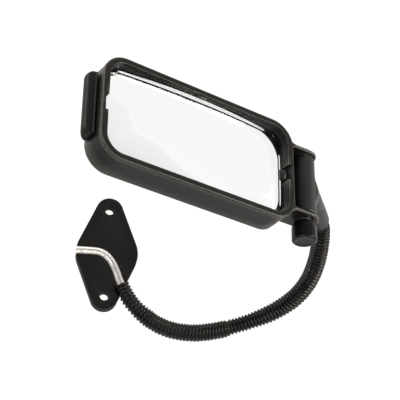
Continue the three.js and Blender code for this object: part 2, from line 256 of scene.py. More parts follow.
def box_solid(name, x0, x1, y0, y1, z0, z1):
    v = [(x, y, z) for x in (x0, x1) for y in (y0, y1) for z in (z0, z1)]
    f = [(0, 1, 3, 2), (4, 6, 7, 5), (0, 4, 5, 1), (2, 3, 7, 6), (0, 2, 6, 4), (1, 5, 7, 3)]
    return outward(new_object(name, v, f))


def solid(name, vf):
    return outward(new_object(name, vf[0], vf[1]))


# signed distances, millimetres, negative inside
def smin(a, b, k):
    h = np.maximum(k - np.abs(a - b), 0.0) / k
    return np.minimum(a, b) - h * h * k * 0.25


def smax(a, b, k):
    return -smin(-a, -b, k)


def sd_rrect(x, z, hw, hh, r):
    qx, qz = np.abs(x) - (hw - r), np.abs(z) - (hh - r)
    return np.hypot(np.maximum(qx, 0), np.maximum(qz, 0)) + np.minimum(np.maximum(qx, qz), 0) - r


def surface_nets(f, lo, hi, h):
    """The zero level of f as quads, each vertex moved onto the level."""
    n = [int(math.ceil((b - a) / h)) + 1 for a, b in zip(lo, hi)]
    ax = [lo[i] + h * np.arange(n[i]) for i in range(3)]
    v = f(*np.meshgrid(*ax, indexing="ij"))
    neg = v < 0
    c = [slice(0, -1), slice(1, None)]
    corners = sum(neg[c[i], c[j], c[k]].astype(np.int8) for i in (0, 1) for j in (0, 1) for k in (0, 1))
    active = (corners > 0) & (corners < 8)
    index = np.full(active.shape, -1, np.int64)
    index[active] = np.arange(active.sum())
    pos = np.zeros(active.shape + (3,))
    cnt = np.zeros(active.shape)
    for axis in range(3):
        o1, o2 = [a for a in range(3) if a != axis]
        for a in (0, 1):
            for b in (0, 1):
                s0, s1 = [None] * 3, [None] * 3
                s0[axis], s1[axis] = c[0], c[1]
                s0[o1] = s1[o1] = c[a]
                s0[o2] = s1[o2] = c[b]
                p, q = v[tuple(s0)], v[tuple(s1)]
                cross = (p < 0) != (q < 0)
                t = np.where(cross, p / np.where(cross, p - q, 1), 0)
                pos[..., axis] += np.where(cross, t, 0)
                pos[..., o1] += cross * a
                pos[..., o2] += cross * b
                cnt += cross
    ijk = np.argwhere(active)
    pts = (ijk + pos[active] / cnt[active][:, None]) * h + np.array(lo)
    for _ in range(4):
        d = f(pts[:, 0], pts[:, 1], pts[:, 2])
        e = 0.02
        g = np.stack([(f(*(pts + e * np.eye(3)[i]).T) - f(*(pts - e * np.eye(3)[i]).T)) / (2 * e) for i in range(3)], 1)
        step = g * (d / np.maximum(np.sum(g * g, 1), 0.2))[:, None]
        ln = np.linalg.norm(step, axis=1)
        pts = pts - step * np.minimum(1, 0.35 * h / np.maximum(ln, 1e-9))[:, None]
    faces = []
    for axis in range(3):
        o1, o2 = (axis + 1) % 3, (axis + 2) % 3
        s0, s1 = [slice(None)] * 3, [slice(None)] * 3
        s0[axis], s1[axis] = c[0], c[1]
        p, q = neg[tuple(s0)], neg[tuple(s1)]
        e = np.argwhere(p != q)
        keep = (e[:, o1] > 0) & (e[:, o2] > 0) & (e[:, o1] < index.shape[o1]) & (e[:, o2] < index.shape[o2])
        e = e[keep]
        flip = p[tuple(e.T)]
        quad = []
        for d1, d2 in ((-1, -1), (0, -1), (0, 0), (-1, 0)):
            w = e.copy()
            w[:, o1] += d1
            w[:, o2] += d2
            quad.append(index[tuple(w.T)])
        quad = np.stack(quad, 1)
        quad[~flip] = quad[~flip][:, ::-1]
        faces.append(quad)
    return pts, np.concatenate(faces)


# ------------------------------------------------------------------ the arm's route, millimetres in the row frame
ROUTE = np.array([
    [-29.3, 0, 8.5], [-22, 0.3, 8.5], [-15, 0.5, 8.5], [-8.5, 0.3, 8.5], [-3.6, -1.1, 8.5],
    [0.7, -4, 8.5], [4.2, -7.9, 8.5], [7.2, -12.9, 8.5], [9.9, -18.6, 8.5], [13.15, -26.57, 8.5],
    [24.35, -45.61, 8.73], [39.55, -59.56, 9.08], [58.3, -68.46, 9.26], [78.97, -70.93, 9.42],
    [99.87, -68.15, 10.17], [119.61, -62.8, 12.89], [138.8, -56.38, 18.38], [156, -49.13, 27.05],
    [170.52, -40.04, 39.06], [179.59, -28.94, 54.18], [182.6, -17, 71.33], [182.4, -5.2, 86.6],
    [180.3, 4.9, 97.6], [176.27, 7.64, 105.26]])


def catmull(P, n=60):
    out = []
    for i in range(len(P) - 1):
        p1, p2 = P[i], P[i + 1]
        p0 = P[i - 1] if i > 0 else 2 * P[0] - P[1]
        p3 = P[i + 2] if i + 2 < len(P) else 2 * P[-1] - P[-2]
        d0, d1, d2 = (np.sum((a - b) ** 2) ** 0.25 for a, b in ((p0, p1), (p1, p2), (p2, p3)))
        t1 = ((p1 - p0) / d0 - (p2 - p0) / (d0 + d1) + (p2 - p1) / d1) * d1
        t2 = ((p2 - p1) / d1 - (p3 - p1) / (d1 + d2) + (p3 - p2) / d2) * d1
        for k in range(n):
            t = k / n
            out.append(p1 + t1 * t + (-3 * p1 + 3 * p2 - 2 * t1 - t2) * t * t + (2 * p1 - 2 * p2 + t1 + t2) * t ** 3)
    out.append(P[-1])
    return np.array(out)


RC = catmull(ROUTE)
RS = np.r_[0, np.cumsum(np.linalg.norm(np.diff(RC, axis=0), axis=1))]
ROUTE_L = RS[-1]


def at(s):
    s = np.asarray(s, float)
    p = np.stack([np.interp(s, RS, RC[:, k]) for k in range(3)], -1)
    over = np.maximum(s - ROUTE_L, 0)[..., None]
    under = np.minimum(s, 0)[..., None]
    t1 = (RC[-1] - RC[-8]) / np.linalg.norm(RC[-1] - RC[-8])
    t0 = (RC[1] - RC[0]) / np.linalg.norm(RC[1] - RC[0])
    return p + over * t1 + under * t0


def frames(s):
    """Centre, tangent and two normals along the route; the first normal starts at +Z."""
    s = np.asarray(s, float)
    fine = np.arange(-2.0, ROUTE_L + 3.0, 0.5)
    t = at(fine + 0.6) - at(fine - 0.6)
    t /= np.linalg.norm(t, axis=1)[:, None]
    n = np.zeros_like(t)
    cur = np.array([0, 0, 1.0])
    for i in range(len(fine)):
        cur = cur - t[i] * (cur @ t[i])
        cur /= np.linalg.norm(cur)
        n[i] = cur
    T = np.stack([np.interp(s, fine, t[:, k]) for k in range(3)], -1)
    T /= np.linalg.norm(T, axis=-1)[..., None]
    N = np.stack([np.interp(s, fine, n[:, k]) for k in range(3)], -1)
    N -= T * np.sum(N * T, -1)[..., None]
    N /= np.linalg.norm(N, axis=-1)[..., None]
    return at(s), T, N, np.cross(T, N)


# ------------------------------------------------------------------ materials
def node(nt, kind, **props):
    n = nt.nodes.new(kind)
    for k, v in props.items():
        setattr(n, k, v)
    return n


def surface(name, base, rough, vary=0.25, mottle=260.0, grain=2600.0, grain_depth=0.00002, rough_var=0.1,
            metallic=0.0, specular=0.5, ior=1.5, edge_highlight_and_wear=0.0, edge_highlight_and_wear_colour=(0.12, 0.12, 0.12), edge_highlight_and_wear_rough=0.35,
            coat=0.0, coat_rough=0.2, dust=0.0, stretch=None, coords="Object", scratches=0.0, streak=0.0,
            cells=0.0, cell_scale=900.0, edge_at=(0.515, 0.60)):
    """A procedural finish: mottled colour, uneven roughness, moulded grain, lighter convex edges (a painted edge
    highlight on the black plastics, worn edges on the steel), fine scratches.
    """
    m = bpy.data.materials.new(name)
    m.use_nodes = True
    nt = m.node_tree
    nt.nodes.clear()
    out = node(nt, "ShaderNodeOutputMaterial")
    b = node(nt, "ShaderNodeBsdfPrincipled")
    nt.links.new(b.outputs[0], out.inputs[0])
    b.inputs["Metallic"].default_value = metallic
    b.inputs["Specular IOR Level"].default_value = specular
    b.inputs["IOR"].default_value = ior
    b.inputs["Coat Weight"].default_value = coat
    b.inputs["Coat Roughness"].default_value = coat_rough
    tc = node(nt, "ShaderNodeTexCoord")
    src = tc.outputs[coords]
    if stretch:
        mp = node(nt, "ShaderNodeMapping")
        mp.inputs["Scale"].default_value = stretch
        nt.links.new(src, mp.inputs["Vector"])
        src = mp.outputs[0]

    def noise(scale, detail=3.0, rough_=0.55, distort=0.0):
        n = node(nt, "ShaderNodeTexNoise")
        n.inputs["Scale"].default_value = scale
        n.inputs["Detail"].default_value = detail
        n.inputs["Roughness"].default_value = rough_
        n.inputs["Distortion"].default_value = distort
        nt.links.new(src, n.inputs["Vector"])
        return n.outputs["Fac"]

    def remap(value, a, b_, c, d):
        r = node(nt, "ShaderNodeMapRange", clamp=True)
        r.inputs["From Min"].default_value = a
        r.inputs["From Max"].default_value = b_
        r.inputs["To Min"].default_value = c
        r.inputs["To Max"].default_value = d
        nt.links.new(value, r.inputs["Value"])
        return r.outputs[0]

    def mix(fac, a, b_):
        x = node(nt, "ShaderNodeMix", data_type="RGBA")
        for sock, val in ((x.inputs[6], a), (x.inputs[7], b_)):
            if isinstance(val, (tuple, list)):
                sock.default_value = (*val[:3], 1)
            else:
                nt.links.new(val, sock)
        if isinstance(fac, float):
            x.inputs[0].default_value = fac
        else:
            nt.links.new(fac, x.inputs[0])
        return x.outputs[2]

    def math_(op, a, b_):
        x = node(nt, "ShaderNodeMath", operation=op)
        for i, val in enumerate((a, b_)):
            if isinstance(val, (int, float)):
                x.inputs[i].default_value = val
            else:
                nt.links.new(val, x.inputs[i])
        return x.outputs[0]

    lo = tuple(c * (1 - vary) for c in base)
    hi = tuple(min(1.0, c * (1 + vary)) for c in base)
    m1 = noise(mottle, 4.0, 0.6)
    colour = mix(remap(m1, 0.32, 0.68, 0, 1), lo, hi)
    rgh = remap(noise(mottle * 0.55, 3.0), 0.3, 0.7, rough * (1 - rough_var), min(1.0, rough * (1 + rough_var)))
    if dust:
        dn = remap(noise(mottle * 3.1, 6.0, 0.7), 0.56, 0.8, 0, dust)
        colour = mix(dn, colour, (0.3, 0.29, 0.27))
        rgh = math_("ADD", rgh, math_("MULTIPLY", dn, 0.3))
    # Lighter colour on convex edges, found by Pointiness: a painted highlight along the edges of the black plastics,
    # and worn edges on the steel.
    if edge_highlight_and_wear:
        geo = node(nt, "ShaderNodeNewGeometry")
        edge = remap(geo.outputs["Pointiness"], edge_at[0], edge_at[1], 0, 1)
        edge_highlight_and_wear_mask = math_("MULTIPLY", edge, remap(noise(mottle * 1.7, 4.0), 0.3, 0.65, edge_highlight_and_wear * 0.45, edge_highlight_and_wear))
        colour = mix(edge_highlight_and_wear_mask, colour, edge_highlight_and_wear_colour)
        rgh = math_("ADD", rgh, math_("MULTIPLY", edge_highlight_and_wear_mask, edge_highlight_and_wear_rough - rough))
    height = noise(grain, 5.0, 0.6)
    if cells:
        vo = node(nt, "ShaderNodeTexVoronoi")
        vo.inputs["Scale"].default_value = cell_scale
        nt.links.new(src, vo.inputs["Vector"])
        height = math_("ADD", height, math_("MULTIPLY", vo.outputs["Distance"], cells))
    if scratches:
        mp2 = node(nt, "ShaderNodeMapping")
        mp2.inputs["Scale"].default_value = (1.0, 14.0, 3.0)
        mp2.inputs["Rotation"].default_value = (0.3, 0.5, 0.9)
        nt.links.new(src, mp2.inputs["Vector"])
        sn = node(nt, "ShaderNodeTexNoise")
        sn.inputs["Scale"].default_value = 160.0
        sn.inputs["Detail"].default_value = 2.0
        nt.links.new(mp2.outputs[0], sn.inputs["Vector"])
        sc = remap(sn.outputs["Fac"], 0.62, 0.7, 0, scratches)
        rgh = math_("ADD", rgh, math_("MULTIPLY", sc, 0.18))
        height = math_("SUBTRACT", height, math_("MULTIPLY", sc, 0.6))
    nt.links.new(colour, b.inputs["Base Color"])
    nt.links.new(rgh, b.inputs["Roughness"])
    bump = node(nt, "ShaderNodeBump")
    bump.inputs["Strength"].default_value = 1.0
    bump.inputs["Distance"].default_value = grain_depth
    nt.links.new(height, bump.inputs["Height"])
    nt.links.new(bump.outputs[0], b.inputs["Normal"])
    return m


def clear_lens(name):
    m = bpy.data.materials.new(name)
    m.use_nodes = True
    nt = m.node_tree
    b = nt.nodes["Principled BSDF"]
    b.inputs["Base Color"].default_value = (0.915, 0.935, 0.95, 1)
    b.inputs["Transmission Weight"].default_value = 1.0
    b.inputs["IOR"].default_value = 1.49
    tc = node(nt, "ShaderNodeTexCoord")
    n = node(nt, "ShaderNodeTexNoise")
    n.inputs["Scale"].default_value = 45.0
    n.inputs["Detail"].default_value = 5.0
    r = node(nt, "ShaderNodeMapRange", clamp=True)
    r.inputs["From Min"].default_value = 0.45
    r.inputs["From Max"].default_value = 0.8
    r.inputs["To Min"].default_value = 0.0
    r.inputs["To Max"].default_value = 0.004
    nt.links.new(tc.outputs["Object"], n.inputs["Vector"])
    nt.links.new(n.outputs["Fac"], r.inputs["Value"])
    nt.links.new(r.outputs[0], b.inputs["Roughness"])
    return m


# On these black plastics the lighter colour set on convex edges is a painted highlight, standing in for light caught by
# their rounded edges.
M_FRAME = surface("frame_black", (0.0068, 0.0064, 0.0058), 0.34, edge_highlight_and_wear=1.0, edge_highlight_and_wear_colour=(0.20, 0.194, 0.182), edge_at=(0.508, 0.565), specular=0.19, scratches=0.35, grain_depth=0.00001)
M_PLATE = surface("plate_black", (0.0042, 0.0039, 0.0036), 0.62, edge_highlight_and_wear=0.35, edge_highlight_and_wear_colour=(0.03, 0.029, 0.027), specular=0.14, grain=1900.0, grain_depth=0.00004, cells=0.4, cell_scale=1500.0)
M_LOOM = surface("loom_black", (0.0046, 0.0037, 0.0031), 0.36, edge_highlight_and_wear=0.0, specular=0.2, mottle=180.0, rough_var=0.22, grain_depth=0.00001, dust=0.02)
M_GRIP = surface("grip_black", (0.0056, 0.0050, 0.0045), 0.5, edge_highlight_and_wear=0.8, edge_highlight_and_wear_colour=(0.13, 0.124, 0.115), specular=0.16, scratches=0.4, grain_depth=0.000006)
M_BARREL = surface("barrel_black", (0.0050, 0.0047, 0.0042), 0.44, edge_highlight_and_wear=0.4, edge_highlight_and_wear_colour=(0.05, 0.049, 0.046), specular=0.36, grain_depth=0.000014)
M_KNOB = surface("knob_black", (0.0052, 0.0048, 0.0044), 0.3, edge_highlight_and_wear=0.8, edge_highlight_and_wear_colour=(0.12, 0.116, 0.108), specular=0.15, scratches=0.5, grain_depth=0.000006)
M_CLIP = surface("clip_black", (0.009, 0.0086, 0.008), 0.4, edge_highlight_and_wear=0.4, edge_highlight_and_wear_colour=(0.05, 0.05, 0.048), specular=0.28, grain_depth=0.00001)
M_ALU = surface("rod_aluminium", (0.80, 0.79, 0.765), 0.38, vary=0.06, metallic=1.0, mottle=330.0, rough_var=0.15, grain=1800.0, grain_depth=0.000002, scratches=0.1)
M_ALU_IN = surface("rod_aluminium_hidden", (0.76, 0.76, 0.75), 0.34, vary=0.08, metallic=1.0, mottle=300.0, grain_depth=0.00001, scratches=0.4)
M_STEEL = surface("steel", (0.52, 0.53, 0.54), 0.32, vary=0.12, metallic=1.0, mottle=420.0, rough_var=0.2, grain_depth=0.000008, edge_highlight_and_wear=0.4, edge_highlight_and_wear_colour=(0.75, 0.75, 0.75), scratches=0.5)
M_NYLON = surface("nylon", (0.022, 0.021, 0.020), 0.5, vary=0.15, mottle=500.0, grain_depth=0.000008, specular=0.4)
M_BRASS = surface("brass_insert", (0.60, 0.42, 0.17), 0.33, vary=0.1, metallic=1.0, mottle=420.0, grain_depth=0.000008, scratches=0.4)
M_LENS = clear_lens("lens_clear")


# ------------------------------------------------------------------ head frame
def build_frame():
    hw, hh, r0 = 92.3, 46.05, 20.5
    ky = 5.1 / 5.8

    def loop(o, y, k=18):
        p = rrect(hw - o, hh - o * ky, r0 - o, k, 5)
        if o < 2.0:
            p[:, 1] -= 1.35 * (y / 25.4) * np.clip(-p[:, 1] / 24.0, 0, 1)
        return np.column_stack([p[:, 0], np.full(len(p), y), p[:, 1]])

    def inner(w, h, r, y, k=18):
        p = rrect(w, h, r, k, 5)
        return np.column_stack([p[:, 0], np.full(len(p), y), p[:, 1]])

    loops = []

    def arc(o0, y0, o1, y1, bulge, k=4):
        """Quarter turn between two points, its corner at bulge."""
        for i in range(k + 1):
            t = i / k
            o = (1 - t) ** 2 * o0 + 2 * t * (1 - t) * bulge[0] + t * t * o1
            y = (1 - t) ** 2 * y0 + 2 * t * (1 - t) * bulge[1] + t * t * y1
            loops.append(loop(o, y))

    arc(1.0, 25.4, 0.25, 24.8, (0.25, 25.4))        # rear outer edge
    loops.append(loop(0.4, 14.0))
    arc(0.62, 4.7, 0.35, 4.15, (0.62, 4.15), 3)     # under the lip
    arc(0.2, 4.1, 0.0, 3.85, (0.0, 4.1), 3)
    arc(0.0, 0.85, 0.85, 0.0, (0.0, 0.0), 5)        # front outer edge
    loops.append(loop(2.8, 0.0))
    arc(5.25, 0.0, 5.72, 0.5, (5.72, 0.0), 5)       # front inner edge
    loops.append(loop(5.72, 3.6))
    loops.append(loop(5.76, 6.8))
    arc(5.72, 7.0, 5.88, 7.2, (5.88, 7.0), 3)       # faint step in the pocket
    loops.append(loop(5.88, 18.9))
    loops.append(inner(85.75 + 0.15, 40.2 + 0.15, 21.8, 18.9))
    loops.append(inner(85.75, 40.2, 22.0, 19.05))
    loops.append(inner(85.75, 40.2, 22.0, 19.4))
    loops.append(inner(89.9, 43.7, 18.4, 25.0))
    loops.append(inner(90.3, 44.1, 18.6, 25.4))
    v, f = skin(loops, closed=True)
    ring = solid("frame_ring", (v, f))

    def ears(x, y, z):
        base = sd_rrect(x, z, hw, hh, r0) + 0.5
        shape = None
        for lo, hi in (EAR_TOP, EAR_LOW):
            plate = np.abs(z - (lo + hi) / 2) - (hi - lo) / 2
            shape = plate if shape is None else np.minimum(shape, plate)
        shape = smin(shape, base, 5.5)
        px = np.clip(x, 60, AX)
        plan = np.hypot(x - px, y - AY) - 12.65
        ear = smax(shape, plan, 1.7)
        boss = smax(np.hypot(x - AX, y - AY) - 9.0, np.abs(z - 31.0) - 2.5, 1.0)
        ear = smin(ear, boss, 1.4)
        return np.maximum(np.maximum(ear, -(base + 1.3)), 84.6 - x)

    v, f = surface_nets(ears, (83.4, -0.9, -43.4), (125.0, 26.3, 42.6), 0.55)
    ear = outward(new_object("ears", v, f))
    body = boolean(ring, [ear], "UNION")
    cut = []
    cut.append(solid("c", lathe([(0, -42), (3.3, -42), (3.3, -34.0), (3.3, 30.0), (3.3, 42), (0, 42)], 32, (AX, AY, 0))))
    cut.append(solid("c", lathe(rounded([(0, -33.31 + 0.5), (3.3, -33.31 + 0.5), (4.1, -33.6), (4.1, -36), (0, -36)], 0.01, 1), 32, (AX, AY, 0))))
    v, f = lathe([(0, 30.5), (6.12, 30.5), (6.12, 33.2), (6.7, 33.8), (6.7, 38), (0, 38)], 6, (AX, AY, 0))
    cut.append(solid("c", (v, f)))
    # recesses for the four snap clips
    for k in (1, -1):
        a, b = (85.5, 88.6) if k > 0 else (-89.3, -85.5)
        cut.append(box_solid("c", a, b, -1.0, 18.89, -7.3, 7.3))
        a, b = (39.9, 43.1) if k > 0 else (-43.1, -39.9)
        cut.append(box_solid("c", -5.3, 5.3, 1.6, 18.89, a, b))
    body = boolean(body, cut)
    return place(body, "head", "head", M_FRAME, ["mirror_frame"], 38, 1e-6)


def named(ob, name):
    ob.name = name
    ob.data.name = name
    return ob


named(build_frame(), "frame_shell")


# ------------------------------------------------------------------ lens
def build_lens():
    R, apex, back = 520.0, 3.3, 18.6
    hw, hh, r = 86.15, 40.6, 14.4

    def sag(x, z):
        return apex + R - np.sqrt(R * R - x * x - z * z)

    loops = []
    edge = rrect(hw, hh, r, 20, 24)
    n = len(edge)

    def front(scale, drop=0.0, base=None):
        q = edge if base is None else base
        q = q * scale
        return np.column_stack([q[:, 0], sag(q[:, 0], q[:, 1]) + drop, q[:, 1]])

    inset = rrect(hw - 0.35, hh - 0.35, r - 0.35, 20, 24)
    inset2 = rrect(hw - 0.1, hh - 0.1, r - 0.1, 20, 24)
    back0 = [np.column_stack([rrect(hw - d, hh - d, r - d, 20, 24)[:, 0], np.full(n, y), rrect(hw - d, hh - d, r - d, 20, 24)[:, 1]]) for d, y in ((0.35, back), (0.1, back - 0.1), (0.0, back - 0.35))]
    scales = [1 - i / 22 for i in range(22)]
    rings = [front(s, 0.0, inset) for s in reversed(scales)]
    edge_loop = np.column_stack([edge[:, 0], sag(edge[:, 0], edge[:, 1]) + 0.3, edge[:, 1]])
    inset_loop = np.column_stack([inset2[:, 0], sag(inset2[:, 0], inset2[:, 1]) + 0.08, inset2[:, 1]])
    mids = [edge_loop * (1 - t) + back0[2] * t for t in (0.33, 0.66)]
    order = rings + [inset_loop, edge_loop] + mids + [back0[2], back0[1], back0[0]]
    v, f = skin(order, closed=False, caps=False)
    v = list(map(tuple, v))
    centre = len(v)
    v.append((0.0, apex, 0.0))
    f = list(f) + [(centre, (j + 1) % n, j) for j in range(n)]
    last = (len(order) - 1) * n
    f.append(tuple(range(last, last + n)))
    ob = solid("lens_pane", (np.array(v), f))
    return place(ob, "head", "head", M_LENS, ["lens"], 30)


build_lens()


# ------------------------------------------------------------------ snap clips
def build_clips():
    sx, sz = 86.5, 40.95
    side = [(sx + 0.1, 18.6), (sx + 1.8, 18.6), (sx + 1.8, 4.6), (sx + 0.6, 4.6), (sx - 0.2, 6.4), (sx - 3.2, 8.2), (sx - 3.2, 9.0), (sx + 0.1, 9.7)]
    for name, k, w, reach in (("lens_clip_right", 1, 5.0, 0.0), ("lens_clip_left", -1, 6.8, 1.5)):
        hook = [(min(x + reach, sx + 0.1) if x < sx - 1 else x, y) for x, y in side]
        hook = rounded(hook + [hook[0]], 0.35, 2)[:-1]
        v, f = prism([(k * x, y) for x, y in hook], -w, w, 0.35)
        place(solid("snap_" + name[5:], (v, f)), "head", "head", M_CLIP, [name], 40)
    over = [(sz + 0.1, 18.6), (sz + 1.9, 18.6), (sz + 1.9, 1.95), (sz + 0.5, 1.95), (sz - 0.2, 2.45), (sz - 1.7, 3.4), (sz - 1.7, 4.15), (sz + 0.1, 4.5)]
    over = rounded(over + [over[0]], 0.25, 2)[:-1]
    for name, k in (("lens_clip_top", 1), ("lens_clip_bottom", -1)):
        v, f = prism([(k * z, y) for z, y in over], -5, 5, 0.3)
        v = np.column_stack([v[:, 2], v[:, 1], v[:, 0]])
        place(solid("snap_" + name[5:], (v, f)), "head", "head", M_CLIP, [name], 40)


build_clips()


# ------------------------------------------------------------------ side grip
def sd_polygon(x, y, pts):
    p = np.array(pts, float)
    d = np.full(np.shape(x), 1e9)
    inside = np.zeros(np.shape(x), bool)
    for i in range(len(p)):
        a, b = p[i - 1], p[i]
        e = b - a
        t = np.clip(((x - a[0]) * e[0] + (y - a[1]) * e[1]) / (e @ e), 0, 1)
        d = np.minimum(d, np.hypot(x - a[0] - t * e[0], y - a[1] - t * e[1]))
        crossing = (a[1] > y) != (b[1] > y)
        with np.errstate(divide="ignore", invalid="ignore"):
            xc = a[0] + (y - a[1]) * e[0] / (e[1] if e[1] else 1e-12)
        inside ^= crossing & (x < xc)
    return np.where(inside, -d, d)


def build_grip():
    xw = -92.35
    raw = np.array([(xw, 11.3), (-94.5, 11.0), (-97.6, 11.7), (-99.8, 13.3), (-101.0, 15.4), (-100.9, 17.4),
                    (-99.5, 20.2), (-97.3, 22.8), (-94.6, 24.5), (xw, 24.9)])
    # smooth the bulge, keep the two wall corners
    fine = [raw[0]]
    for i in range(1, len(raw) - 2):
        p0, p1, p2, p3 = raw[max(i - 1, 0)], raw[i], raw[i + 1], raw[min(i + 2, len(raw) - 1)]
        for k in range(4):
            t = k / 4
            fine.append(0.5 * (2 * p1 + (p2 - p0) * t + (2 * p0 - 5 * p1 + 4 * p2 - p3) * t * t + (3 * p1 - p0 - 3 * p2 + p3) * t ** 3))
    fine += [raw[-2], raw[-1]]

    def f(x, y, z):
        sec = sd_polygon(x, y, fine)
        face = sd_rrect(x + 80.0, z - 2.3, 21.0, 28.6, 6.5)
        body = smax(sec, face, 2.2)
        bead = smax(np.hypot(x + 93.4, y - 10.95) - 0.8, np.abs(z - 2.3) - 27.6, 0.8)
        body = smin(body, bead, 0.35)
        return np.maximum(body, x - xw)

    v, q = surface_nets(f, (-103.4, 9.4, -30.0), (-91.6, 26.0, 32.0), 0.45)
    v[:, 1] -= 1.4
    ob = outward(new_object("grip_handle", v, q))
    return place(ob, "head", "head", M_GRIP, ["side_grip"], 50)


build_grip()


# ------------------------------------------------------------------ hinge barrel with the arm's socket
def build_barrel():
    zc, hz = (-28.7 + 25.9) / 2, (25.9 + 28.7) / 2

    def f(x, y, z):
        rho = np.hypot(x - AX, y - AY)
        barrel = smax(rho - 11.0, np.abs(z - zc) - hz, 1.6)
        px, py, pz = x - BOOT_O[0], y - BOOT_O[1], z - BOOT_O[2]
        t = px * BOOT_D[0] + py * BOOT_D[1] + pz * BOOT_D[2]
        q = np.sqrt(np.maximum(px * px + py * py + pz * pz - t * t, 0))
        rad = np.interp(t, [0, 8, 16, 26, 36, 44, 50, 55], [12.0, 12.4, 12.2, 11.6, 11.1, 10.5, 10.0, 9.5])
        boot = smax(q - rad, np.abs(t - 29.0) - 26.0, 1.9)
        d = smin(barrel, boot, 6.0)
        d = smax(d, -(rho - 5.0), 0.5)
        hollow = np.maximum(q - 4.35, 17.5 - t)
        d = smax(d, -hollow, 0.4)
        pin = np.hypot(px - BOOT_D[0] * 40, py - BOOT_D[1] * 40) - 1.6
        return smax(d, -pin, 0.25)

    v, q = surface_nets(f, (AX - 12.6, AY - 12.6, -30.0), (AX + 54.5, AY + 42.5, 27.2), 0.6)
    return place(outward(new_object("hinge_moulding", v, q)), "head", "arm_top", M_BARREL, ["hinge_barrel"], 50)


build_barrel()


# ------------------------------------------------------------------ clamp knob
def build_knob():
    top = EAR_LOW[0] - 0.3 - 1.2 - 0.3
    prof = [(0, -51.9), (6.5, -51.9), (7.2, -52.3), (9.4, -52.3), (10.5, -51.2), (10.5, -39.6), (9.8, -38.3), (8.8, -38.0), (8.8, top), (4.4, top), (4.4, -48.7), (0, -48.7)]
    v, f = lathe(rounded(prof, 0.45, 4), 96, (AX, AY, 0))
    return place(solid("knob_moulding", (v, f)), "head", "knob", M_KNOB, ["clamp_knob"], 30)


build_knob()


# ------------------------------------------------------------------ mounting plate
def build_plate():
    a = math.radians(22.2)

    def outline(d, k=28):
        pts = []
        for cx, cy, r, t0, t1 in ((0, 42.6, 12.6, a, math.pi - a), (-0.74, 0, 28, math.pi - a, math.pi + a), (0, -42.6, 12.6, math.pi + a, 2 * math.pi - a), (0.74, 0, 28, -a, a)):
            for i in range(k + 1):
                t = t0 + (t1 - t0) * i / k
                pts.append((cx + (r - d) * math.cos(t), cy + (r - d) * math.sin(t)))
        return np.array(pts)

    loops = []
    prof = rounded([(1.2, 0.0), (0.0, 0.0), (0.0, 10.0), (1.6, 10.0)], 0.8, 5)
    for d, z in prof:
        p = outline(d)
        loops.append(np.column_stack([p, np.full(len(p), z)]))
    plate = solid("plate_casting", skin(loops))
    cut = []
    for y in (42.6, -42.6):
        cut.append(solid("c", lathe([(0, -1), (5.2, -1), (5.2, -0.01), (4.7, 0.35), (4.25, 0.6), (4.25, 9.3), (4.45, 9.75), (4.95, 10.02), (5.4, 10.3), (5.4, 11), (0, 11)], 48, (0, y, 0))))
    # open channel for the rod: round bottom, straight sides, eased top edge
    w = 4.28
    sec = [(w * math.sin(t), 8.5 - w * math.cos(t)) for t in np.linspace(-math.pi / 2, math.pi / 2, 17)]
    sec = [(-w - 1.2, 11.2), (-w - 0.62, 10.02), (-w - 0.2, 9.75), (-w, 9.2)] + sec + [(w, 9.2), (w + 0.2, 9.75), (w + 0.62, 10.02), (w + 1.2, 11.2)]
    s = np.r_[-4.0, np.arange(0, 66.1, 1.5)]
    c, t, n_, b = frames(s)
    flat_b = np.column_stack([t[:, 1], -t[:, 0], np.zeros(len(t))])
    flat_b /= np.linalg.norm(flat_b, axis=1)[:, None]
    loops = [np.array([[c[i][0] + flat_b[i][0] * q, c[i][1] + flat_b[i][1] * q, z] for q, z in sec]) for i in range(len(s))]
    cut.append(solid("c", skin(loops)))
    # notch where the sleeve meets the plate's edge
    s = np.arange(61.2, 98, 2.0)
    c, t, n_, b = frames(s)
    flat_b = np.column_stack([t[:, 1], -t[:, 0], np.zeros(len(t))])
    flat_b /= np.linalg.norm(flat_b, axis=1)[:, None]
    loops = [np.array([[c[i][0] + flat_b[i][0] * q, c[i][1] + flat_b[i][1] * q, z] for q, z in ((-7.75, 0.85), (7.75, 0.85), (7.75, 11), (-7.75, 11))]) for i in range(len(s))]
    cut.append(solid("c", skin(loops)))
    plate = boolean(plate, cut)
    return place(plate, "row", "base", M_PLATE, ["mount_plate"], 32, 1e-7)


build_plate()


